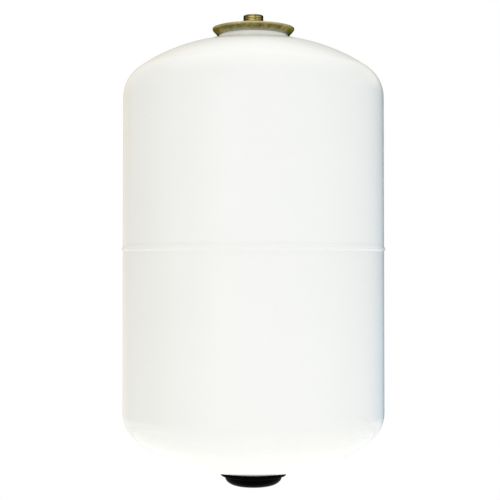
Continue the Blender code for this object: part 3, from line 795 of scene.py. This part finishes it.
def make_spigot(plating):
    """Male G 1/2 spigot."""
    foot = FLANGE_TOP - FLANGE_PLATE
    thread_low = FLANGE_TOP + SPIGOT_WELD_LEG
    loop = [(SPIGOT_BORE, foot), (SPIGOT_BORE, SPIGOT_TOP, PLAIN_EDGE),
            (SPIGOT_RADIUS - SPIGOT_CHAMFER, SPIGOT_TOP, TURNED_EDGE)]
    loop += [(SPIGOT_RADIUS - SPIGOT_CHAMFER * (1 - i / CHAMFER_ROWS),
              SPIGOT_TOP - SPIGOT_CHAMFER * i / CHAMFER_ROWS) for i in range(1, CHAMFER_ROWS)]
    loop += rows(SPIGOT_RADIUS, SPIGOT_TOP - SPIGOT_CHAMFER, thread_low, SPIGOT_ROW)
    loop.append((SPIGOT_RADIUS, foot))
    shape = thread(SPIGOT_RADIUS, SPIGOT_THREAD_DEPTH, SPIGOT_PITCH, thread_low,
                   SPIGOT_TOP + SPIGOT_PITCH)
    piece_from("threaded_spigot", lathe(loop, THREAD_FACETS, MIDDLE, shape),
               "spigot", plating)


def make_spigot_fillet(plating):
    """Plated weld between the spigot and the flange."""
    base = FLANGE_TOP - DISH_DEPTH
    loop = fillet(SPIGOT_RADIUS, base + GAP, SPIGOT_WELD_LEG, base + GAP)
    middle = base + SPIGOT_RIPPLE_MIDDLE
    shape = ripples(SPIGOT_RIPPLES, SPIGOT_RADIUS, SPIGOT_WELD_LEG, middle, SPIGOT_WELD_LEG)
    piece_from("spigot_fillet", lathe(loop, RING_FACETS * 2, MIDDLE, shape),
               "spigot_weld_bead", plating)


def make_liner(plastic):
    """Liner of the water way: a disc under the flange and a tube up the spigot."""
    tube_radius = SPIGOT_BORE - GAP
    way = tube_radius - LINER_WALL
    tube_top = SPIGOT_TOP - LINER_RECESS
    disc_bottom = LINER_DISC_TOP - LINER_DISC
    loop = [(way, tube_top, SOFT_EDGE), (tube_radius, tube_top, SOFT_EDGE),
            (tube_radius, LINER_DISC_TOP, SOFT_EDGE), (LINER_RADIUS, LINER_DISC_TOP, PLAIN_EDGE),
            (LINER_RADIUS, disc_bottom, PLAIN_EDGE), (way, disc_bottom, ROLLED_EDGE)]
    piece_from("water_liner", lathe(loop, SMALL_FACETS, MIDDLE),
               "connection_liner", plastic)


def bladder_outline(inset):
    """Bag from its neck down to its lowest point, inset from the outer face."""
    shoulder = (BLADDER_RADIUS - BLADDER_SHOULDER_ROUND,
                BLADDER_SHOULDER - BLADDER_SHOULDER_ROUND)
    bottom = (BLADDER_RADIUS - BLADDER_BOTTOM_ROUND, BLADDER_BOTTOM + BLADDER_BOTTOM_ROUND)
    shoulder_run = arc(shoulder, BLADDER_SHOULDER_ROUND - inset, BLADDER_NECK_SLOPE, 0.0)
    bottom_run = arc(bottom, BLADDER_BOTTOM_ROUND - inset, 0.0, -math.pi / 2)
    side = rows(BLADDER_RADIUS - inset, shoulder[1], bottom[1], BLADDER_ROWS_APART)[1:-1]
    return ([(NECK_BORE - GAP - inset, NECK_BOTTOM)] + shoulder_run + side + bottom_run
            + [(0.0, BLADDER_BOTTOM + inset)])


def slack(radius, height, turn):
    """Soft lengthwise folds in the bag's side, none at its neck and foot."""
    side = between(height, BLADDER_BOTTOM, BLADDER_SHOULDER, SLACK_START)
    folds = waves(turn, [(size, count, height / lean) for size, count, lean in SLACK_FOLDS])
    return radius + side * (folds - SLACK_CREST) * SLACK_DEPTH, height


def make_bladder(rubber):
    """Rubber bag with a moulded bead, a stiff neck and slack sides."""
    bead_top = LINER_DISC_TOP - LINER_DISC - GAP
    bead_bottom = LIP_TOP + GAP
    outer = [(LIP_RADIUS - GAP, bead_top, BLUNT_EDGE),
             (LIP_RADIUS - GAP, bead_bottom, BLUNT_EDGE),
             (NECK_BORE - GAP, bead_bottom, PLAIN_EDGE)] + bladder_outline(0.0)
    inner = [(NECK_BORE - GAP - BLADDER_WALL, bead_top, BLUNT_EDGE)]
    inner += bladder_outline(BLADDER_WALL)
    piece_from("butyl_bag", lathe(outer + inner[::-1], RING_FACETS, MIDDLE, slack),
               "bladder", rubber)


# ---- Air valve

def stem_thread(outside=0.0):
    """The valve stem's 8V1 thread, on the stem itself or offset for what turns on it."""
    return thread(STEM_RADIUS, STEM_THREAD_DEPTH, STEM_PITCH, -STEM_LENGTH - STEM_PITCH,
                  STEM_THREAD_TOP, outside)


def make_grommet(rubber):
    """Seal under the valve's head, with a sleeve through the hole."""
    bore = STEM_RADIUS + GAP
    inside = SHELL_WALL + GAP
    top = inside + GROMMET_THICKNESS
    loop = [(bore, top, PLAIN_EDGE), (GROMMET_RADIUS, top, FULL_EDGE),
            (GROMMET_RADIUS, inside, FULL_EDGE), (VALVE_HOLE - GAP, inside, PLAIN_EDGE),
            (VALVE_HOLE - GAP, GAP, TURNED_EDGE), (bore, GAP, TURNED_EDGE)]
    piece_from("head_grommet", lathe(loop, SMALL_FACETS, SEAT),
               "valve_grommet", rubber)


def make_valve(brass):
    """Brass valve with a flat head inside the vessel and a threaded stem outside."""
    head_bottom = SHELL_WALL + GROMMET_THICKNESS + 2 * GAP
    head_top = head_bottom + HEAD_THICKNESS
    loop = [(STEM_INNER_BORE, head_top, TURNED_EDGE), (HEAD_RADIUS, head_top, SOFT_EDGE),
            (HEAD_RADIUS, head_bottom, PLAIN_EDGE), (STEM_RADIUS, head_bottom, TURNED_EDGE)]
    loop += rows(STEM_RADIUS, STEM_THREAD_TOP + GAP, GAP - STEM_LENGTH, STEM_ROW)
    loop += [(STEM_RADIUS - GAP, -STEM_LENGTH), (STEM_BORE, -STEM_LENGTH, SEAT_EDGE),
             (STEM_BORE, -SPRING_SEAT), (STEM_INNER_BORE, -SPRING_SEAT, SEAT_EDGE)]
    piece_from("brass_valve", lathe(loop, THREAD_FACETS, SEAT, stem_thread()),
               "valve_body", brass)


def make_washer(steel):
    """Flat washer under the nut."""
    bore = STEM_RADIUS + GAP
    top = -GAP
    bottom = top - WASHER_THICKNESS
    loop = [(bore, top, STAMPED_EDGE), (WASHER_RADIUS, top, PLAIN_EDGE),
            (WASHER_RADIUS, bottom, STAMPED_EDGE), (bore, bottom, STAMPED_EDGE)]
    piece_from("zinc_washer", lathe(loop, SMALL_FACETS, SEAT),
               "valve_washer", steel)


def hexagon(flat, face, high, low):
    """Shape that trims a turned blank to a hexagon with chamfered corners."""
    def shape(radius, height, turn):
        sector = (turn + HALF_SIDE) % (2 * HALF_SIDE) - HALF_SIDE
        flats = flat / np.cos(sector)
        depth = np.minimum(high - height, height - low)
        cone = face + depth / NUT_CHAMFER_SLOPE
        outside = radius > face
        return np.where(outside, np.minimum(np.minimum(flats, cone), radius), radius), height
    return shape


def make_nut(brass):
    """Hexagon nut on the valve stem."""
    high = -WASHER_THICKNESS - 2 * GAP
    low = high - NUT_THICKNESS
    bore = STEM_RADIUS + GAP
    flat = NUT_ACROSS_FLATS / 2
    corner = flat / math.cos(HALF_SIDE)
    face = flat * NUT_FACE
    loop = [(bore, low, TURNED_EDGE), (bore, high, TURNED_EDGE), (face, high)]
    loop += rows(corner, high, low, NUT_THICKNESS / NUT_ROWS) + [(face, low)]
    piece_from("hex_nut", lathe(loop, THREAD_FACETS, SEAT, hexagon(flat, face, high, low)),
               "valve_nut", brass)


def make_barrel(brass):
    """Plug of the valve core, with a groove for its gasket."""
    loop = [(CORE_BORE, -CORE_TOP, SEAT_EDGE), (CORE_RADIUS, -CORE_TOP, TURNED_EDGE),
            (CORE_RADIUS, -CORE_GROOVE_TOP, SEAT_EDGE),
            (CORE_GROOVE_RADIUS, -CORE_GROOVE_TOP, SEAT_EDGE),
            (CORE_GROOVE_RADIUS, -CORE_GROOVE_BOTTOM, SEAT_EDGE),
            (CORE_RADIUS, -CORE_GROOVE_BOTTOM, SEAT_EDGE),
            (CORE_RADIUS, -CORE_BOTTOM, TURNED_EDGE), (CORE_BORE, -CORE_BOTTOM, SEAT_EDGE)]
    piece_from("core_plug", lathe(loop, SMALL_FACETS, SEAT),
               "core_barrel", brass)


def make_barrel_gasket(rubber):
    """Gasket in the plug's groove."""
    inner = CORE_GROOVE_RADIUS + GAP
    top = -CORE_GROOVE_TOP - GAP
    bottom = -CORE_GROOVE_BOTTOM + GAP
    loop = [(inner, top, SEAT_EDGE), (CORE_RADIUS, top, PLAIN_EDGE),
            (CORE_RADIUS, bottom, PLAIN_EDGE), (inner, bottom, SEAT_EDGE)]
    piece_from("core_gasket", lathe(loop, SMALL_FACETS, SEAT),
               "core_barrel_seal", rubber)


def make_pin(brass):
    """Pin that opens the valve when pressed, with the plate that carries its seal."""
    plate_bottom = POPPET_TOP - POPPET_PLATE
    loop = [(0.0, -PIN_TOP), (PIN_RADIUS, -PIN_TOP, PIN_TIP_EDGE), (PIN_RADIUS, POPPET_TOP),
            (POPPET_RADIUS, POPPET_TOP, STAMPED_EDGE), (POPPET_RADIUS, plate_bottom, STAMPED_EDGE),
            (PIN_RADIUS, plate_bottom), (PIN_RADIUS, -PIN_BOTTOM, PLAIN_EDGE),
            (0.0, -PIN_BOTTOM)]
    piece_from("valve_pin", lathe(loop, SMALL_FACETS, SEAT),
               "core_pin", brass, body="core_pin")


def make_poppet_ring(rubber):
    """Rubber ring that closes on the plug's inner end."""
    top = POPPET_TOP - POPPET_PLATE - GAP
    inner = PIN_RADIUS + GAP
    bottom = top - POPPET_SEAL
    loop = [(inner, top, SEAT_EDGE), (POPPET_RADIUS, top, TURNED_EDGE),
            (POPPET_RADIUS, bottom, PLAIN_EDGE), (inner, bottom, SEAT_EDGE)]
    piece_from("poppet_ring", lathe(loop, SMALL_FACETS, SEAT),
               "core_poppet_seal", rubber, body="core_pin")


def make_spring(steel):
    """Coil spring with closed ends, between the pin's plate and the step in the bore."""
    low = POPPET_TOP + GAP + SPRING_WIRE
    high = -SPRING_SEAT - GAP - SPRING_WIRE
    points = SPRING_STEPS * SPRING_TURNS
    closed = 2 * SPRING_WIRE / (high - low)
    end_turn = 1 / SPRING_TURNS
    path = []
    for i in range(points + 1):
        share = i / points
        run = np.interp(share, (0.0, end_turn, 1 - end_turn, 1.0), (0.0, closed, 1 - closed, 1.0))
        angle = FULL_TURN * SPRING_TURNS * share
        path.append((SPRING_RADIUS * math.cos(angle), SPRING_RADIUS * math.sin(angle),
                     SEAT + low + (high - low) * run))
    spring = piece_from("closing_spring", tube(path, SPRING_WIRE, SPRING_SIDES),
                        "core_spring", steel)
    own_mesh(spring)


def ribbed(crest, low, high):
    """Shape that presses the dust cap's soft upright ribs into its outer face."""
    def shape(radius, height, turn):
        valley = (0.5 - 0.5 * np.cos(DUST_CAP_RIBS * turn)) ** 2
        share = between(height, low, high, DUST_CAP_RIB_FADE)
        face = np.clip(radius - crest + 1.0, 0.0, 1.0)
        return radius - DUST_CAP_RIB_DEPTH * valley * share * face, height
    return shape


def make_dust_cap(plastic):
    """Ribbed screw cap over the stem's end, threaded inside."""
    bore = STEM_RADIUS + GAP
    top = -DUST_CAP_TOP
    bottom = top - DUST_CAP_LENGTH
    end = bottom + DUST_CAP_END
    loop = [(0.0, end), (bore, end)]
    loop += rows(bore, end + DUST_CAP_UNDERCUT, top - DUST_CAP_LEAD_IN, STEM_ROW)
    loop += [(bore + DUST_CAP_LEAD_IN, top), (DUST_CAP_RADIUS, top, PLAIN_EDGE)]
    loop += rows(DUST_CAP_RADIUS, top - SOFT_EDGE, bottom + DUST_CAP_BAND, DUST_CAP_ROW)
    loop += [(DUST_CAP_RADIUS, bottom, DUST_CAP_ROUND), (0.0, bottom)]
    inside = stem_thread(GAP)
    outside = ribbed(DUST_CAP_RADIUS, bottom + DUST_CAP_FOOT, top - DUST_CAP_BAND)

    def shape(radius, height, turn):
        return outside(*inside(radius, height, turn), turn)

    piece_from("ribbed_dust_cap", lathe(loop, DUST_CAP_RIBS * 8, SEAT, shape),
               "dust_cap", plastic, body="dust_cap")


def make_dust_cap_disc(rubber):
    """Rubber disc in the end of the dust cap."""
    bottom = -DUST_CAP_TOP - DUST_CAP_LENGTH + DUST_CAP_END + GAP
    top = bottom + DUST_SEAL_THICKNESS
    loop = [(0.0, top), (STEM_RADIUS, top, TURNED_EDGE), (STEM_RADIUS, bottom, TURNED_EDGE),
            (0.0, bottom)]
    piece_from("dust_cap_disc", lathe(loop, SMALL_FACETS, SEAT),
               "dust_cap_seal", rubber, body="dust_cap_thread")


def cover_bowl(inset, inner_radius):
    """Elliptical side of the cover's bowl, from inner_radius out to its widest."""
    across = COVER_BOWL_RADIUS - COVER_FLAT - inset
    deep = COVER_BOWL_TOP - COVER_BOTTOM - inset
    start = math.asin(max(0.0, inner_radius - COVER_FLAT) / across)
    return [(COVER_FLAT + across * math.sin(a), COVER_BOWL_TOP - deep * math.cos(a))
            for a in np.linspace(start, math.pi / 2, BOWL_POINTS)]


def make_cover(plastic):
    """Push-fit cover: a shallow bowl, a rim on the crown and a skirt in the pocket."""
    skirt_outer = POCKET_RADIUS - GAP
    skirt_inner = skirt_outer - COVER_SKIRT_WALL
    rim_inner = COVER_RIM_RADIUS - COVER_WALL
    shoulder_inside = COVER_SHOULDER + COVER_WALL
    gate_top = COVER_BOTTOM + GATE_DEPTH
    loop = [(0.0, gate_top), (GATE_RADIUS, gate_top, TURNED_EDGE),
            (GATE_RADIUS + GATE_DEPTH, COVER_BOTTOM, TURNED_EDGE)]
    loop += cover_bowl(0.0, COVER_FLAT)[:-1]
    loop += [(COVER_BOWL_RADIUS, COVER_SHOULDER, COVER_SHOULDER_ROUND),
             (COVER_RIM_RADIUS, COVER_SHOULDER + COVER_FLARE, COVER_RIM_ROUND),
             (COVER_RIM_RADIUS, -crown_height(COVER_RIM_RADIUS) - GAP, PLAIN_EDGE),
             (rim_inner, -crown_height(rim_inner) - GAP, PLAIN_EDGE),
             (rim_inner, shoulder_inside, PLAIN_EDGE)]
    loop += cover_bowl(COVER_WALL, skirt_outer)[::-1]
    loop += [(skirt_outer, COVER_SKIRT_TOP - COVER_GRIP_FOOT, FULL_EDGE),
             (skirt_outer + COVER_GRIP_PROUD, COVER_SKIRT_TOP - COVER_GRIP_CREST, FULL_EDGE),
             (skirt_outer - COVER_LEAD_IN, COVER_SKIRT_TOP, BLUNT_EDGE),
             (skirt_inner, COVER_SKIRT_TOP, BLUNT_EDGE)]
    floor = [p for p in cover_bowl(COVER_WALL, COVER_FLAT) if p[0] < skirt_inner - GAP]
    loop += cover_bowl(COVER_WALL, skirt_inner)[:1] + floor[::-1]
    loop.append((0.0, COVER_BOTTOM + COVER_WALL))
    piece_from("push_cover", lathe(loop, RING_FACETS, MIDDLE),
               "protective_cap", plastic, body="protective_cap")


# ---- Studio and camera

# Places and sizes here are in metres.
CAMERA_BACK = 1.2510  # from the vessel's axis
CAMERA_HEIGHT = -0.2572
CAMERA_PITCH = math.radians(1.43)
CAMERA_LENS = 86.7
CAMERA_SHIFT = (-0.0068, -0.0354)
FLOOR_HEIGHT = -0.84
FLOOR_RADIUS = 1.4
LIFT_SIZE = 2.2  # disc light on the floor
LIFT_POWER = 3.0
LIFT_CLEARANCE = 0.01

# Light round the vessel, a little above its own level, a little below it and well above
# it: degrees from the camera's side, positive to its right, and colour.
RISING = ((-180, (0.70, 0.68, 0.62)), (-158, (0.82, 0.74, 0.58)), (-130, (0.62, 0.57, 0.42)),
          (-95, (0.42, 0.40, 0.30)), (-62, (0.70, 0.69, 0.60)), (-24, (1.36, 1.33, 1.30)),
          (8, (1.02, 1.04, 1.05)), (50, (1.00, 1.01, 0.98)), (85, (0.60, 0.64, 0.65)),
          (112, (0.30, 0.38, 0.42)), (140, (0.05, 0.13, 0.20)), (164, (0.03, 0.07, 0.11)),
          (175, (0.50, 0.54, 0.56)))
FALLING = ((-180, (0.90, 0.88, 0.84)), (-158, (0.94, 0.89, 0.82)), (-130, (0.66, 0.64, 0.60)),
           (-95, (0.42, 0.41, 0.38)), (-62, (0.72, 0.73, 0.70)), (-24, (1.30, 1.28, 1.32)),
           (8, (1.05, 1.09, 1.15)), (50, (1.13, 1.15, 1.20)), (85, (0.82, 0.89, 1.00)),
           (112, (0.56, 0.68, 0.86)), (140, (0.22, 0.44, 0.70)), (164, (0.04, 0.18, 0.32)),
           (175, (0.80, 0.84, 0.88)))
STEEP = ((-180, (0.56, 0.54, 0.48)), (-150, (0.94, 0.88, 0.74)), (-110, (0.66, 0.63, 0.52)),
         (-60, (0.76, 0.75, 0.68)), (-24, (1.12, 1.11, 1.08)), (8, (1.06, 1.06, 1.05)),
         (50, (0.94, 0.95, 0.91)), (110, (0.64, 0.66, 0.61)), (150, (0.86, 0.86, 0.78)),
         (172, (0.56, 0.55, 0.49)))
LOW = (0.98, 1.00, 1.05)
HIGH = (1.05, 1.05, 1.02)
OVERHEAD = (1.36, 1.36, 1.33)
BACKDROP = (1.0, 1.0, 1.0)  # what the camera sees behind the vessel

# Where one light gives way to the next, as sines of the angle above the vessel's level.
FALLING_TO_RISING = (-0.16, 0.16)
LEVEL_TO_LOW = (0.13, 0.25)  # these two are below the level
LEVEL_TO_STEEP = (0.14, 0.34)
STEEP_TO_HIGH = (0.54, 0.78)
HIGH_TO_OVERHEAD = (0.76, 0.90)


def make_camera():
    """Camera near the level of the vessel's middle, tipped up a little, with a long lens."""
    data = bpy.data.cameras.new("camera")
    data.lens = CAMERA_LENS
    data.shift_x, data.shift_y = CAMERA_SHIFT
    camera = add_object("camera", data)
    camera.location = (0.0, -CAMERA_BACK, CAMERA_HEIGHT)
    camera.rotation_euler = (math.pi / 2 + CAMERA_PITCH, 0.0, 0.0)
    bpy.context.scene.camera = camera


def make_floor():
    """Round pale floor well below the hanging vessel."""
    count = FLOOR_FACETS
    vertices = [(0.0, 0.0, FLOOR_HEIGHT)]
    for radius in (FLOOR_RADIUS / 2, FLOOR_RADIUS):
        for k in range(count):
            angle = FULL_TURN * k / count
            vertices.append((radius * math.cos(angle), radius * math.sin(angle), FLOOR_HEIGHT))
    faces = []
    for k in range(count):
        near = 1 + k
        after = 1 + (k + 1) % count
        faces += [(0, near, after), (near, near + count, after + count, after)]
    mesh = bpy.data.meshes.new("floor")
    mesh.from_pydata(vertices, [], faces)
    pale = Shader("pale_floor", Roughness=0.7)
    tone = pale.spread(pale.noise(3.0))
    pale.feed("Base Color", pale.blend(tone, (0.90, 0.90, 0.895), (0.92, 0.92, 0.915)))
    mesh.materials.append(pale.material)
    add_object("floor", mesh)


def make_studio():
    """Soft light all round, as a world whose brightness follows direction."""
    world = bpy.data.worlds.new("studio")
    world.use_nodes = True
    bpy.context.scene.world = world
    studio = Graph(world.node_tree)
    studio.tree.nodes.clear()

    def soft_step(value, start, end):
        node = studio.add("ShaderNodeMapRange", Value=value, From_Min=start, From_Max=end)
        node.interpolation_type = "SMOOTHSTEP"
        return node.outputs[0]

    direction = studio.add("ShaderNodeTexCoord").outputs["Generated"]
    east, north, up = studio.add("ShaderNodeSeparateXYZ", Vector=direction).outputs
    azimuth = studio.maths("ARCTAN2", east, studio.maths("MULTIPLY", north, -1.0))
    share = studio.maths("MULTIPLY_ADD", azimuth, 1 / FULL_TURN, 0.5)
    down = studio.maths("MULTIPLY", up, -1.0)

    def round_the_vessel(colours):
        ramp = studio.add("ShaderNodeValToRGB", Fac=share)
        ramp.color_ramp.interpolation = "EASE"
        while len(ramp.color_ramp.elements) < len(colours):
            ramp.color_ramp.elements.new(0.5)
        for element, (degrees, colour) in zip(ramp.color_ramp.elements, colours):
            element.position = degrees / 360 + 0.5
            element.color = (*colour, 1.0)
        return ramp.outputs[0]

    light = studio.blend(soft_step(up, *FALLING_TO_RISING), round_the_vessel(FALLING),
                         round_the_vessel(RISING))
    light = studio.blend(soft_step(down, *LEVEL_TO_LOW), light, LOW)
    light = studio.blend(soft_step(up, *LEVEL_TO_STEEP), light, round_the_vessel(STEEP))
    light = studio.blend(soft_step(up, *STEEP_TO_HIGH), light, HIGH)
    light = studio.blend(soft_step(up, *HIGH_TO_OVERHEAD), light, OVERHEAD)
    straight = studio.add("ShaderNodeLightPath").outputs["Is Camera Ray"]
    seen = studio.blend(straight, light, BACKDROP)
    background = studio.add("ShaderNodeBackground", Color=seen)
    studio.add("ShaderNodeOutputWorld", Surface=background.outputs[0])


def make_lift():
    """Broad soft light on the floor that fills the vessel's underside."""
    data = bpy.data.lights.new("lift", "AREA")
    data.shape = "DISK"
    data.size = LIFT_SIZE
    data.energy = LIFT_POWER
    lift = add_object("lift", data)
    lift.location = (0.0, 0.0, FLOOR_HEIGHT + LIFT_CLEARANCE)
    lift.rotation_euler = (math.pi, 0.0, 0.0)
    lift.visible_camera = False


def main():
    """Make the materials, then every piece, then the studio round them."""
    paint = white_powder_coat()
    plating = yellow_chromate()
    turned_plating = turned_chromate()
    brass = turned_metal("turned_brass", (0.50, 0.34, 0.12), (0.72, 0.52, 0.21), 0.22)
    steel = turned_metal("zinc_steel", (0.50, 0.50, 0.50), (0.66, 0.66, 0.67), 0.28)
    wire = turned_metal("spring_wire", (0.56, 0.56, 0.56), (0.70, 0.70, 0.70), 0.20)
    black_rubber = seal_rubber("seal_rubber", (0.016, 0.016, 0.016), (0.030, 0.030, 0.030))
    red_rubber = seal_rubber("gasket_rubber", (0.32, 0.035, 0.025), (0.42, 0.055, 0.040))
    make_upper_half(paint)
    make_lower_half(paint)
    make_girth_bead(paint)
    make_collar(paint)
    make_collar_fillet(paint)
    make_flange(plating)
    make_spigot(turned_plating)
    make_spigot_fillet(plating)
    make_liner(natural_polypropylene())
    make_bladder(butyl_rubber())
    make_grommet(black_rubber)
    make_valve(brass)
    make_washer(steel)
    make_nut(brass)
    make_barrel(brass)
    make_barrel_gasket(red_rubber)
    make_pin(brass)
    make_poppet_ring(black_rubber)
    make_spring(wire)
    make_dust_cap(moulded_black("dust_cap_plastic", 0.38, 2500.0))
    make_dust_cap_disc(black_rubber)
    make_cover(moulded_black("cover_plastic", 0.30, 1600.0))
    make_camera()
    make_floor()
    make_studio()
    make_lift()
    bpy.context.scene.view_settings.view_transform = "Standard"


main()
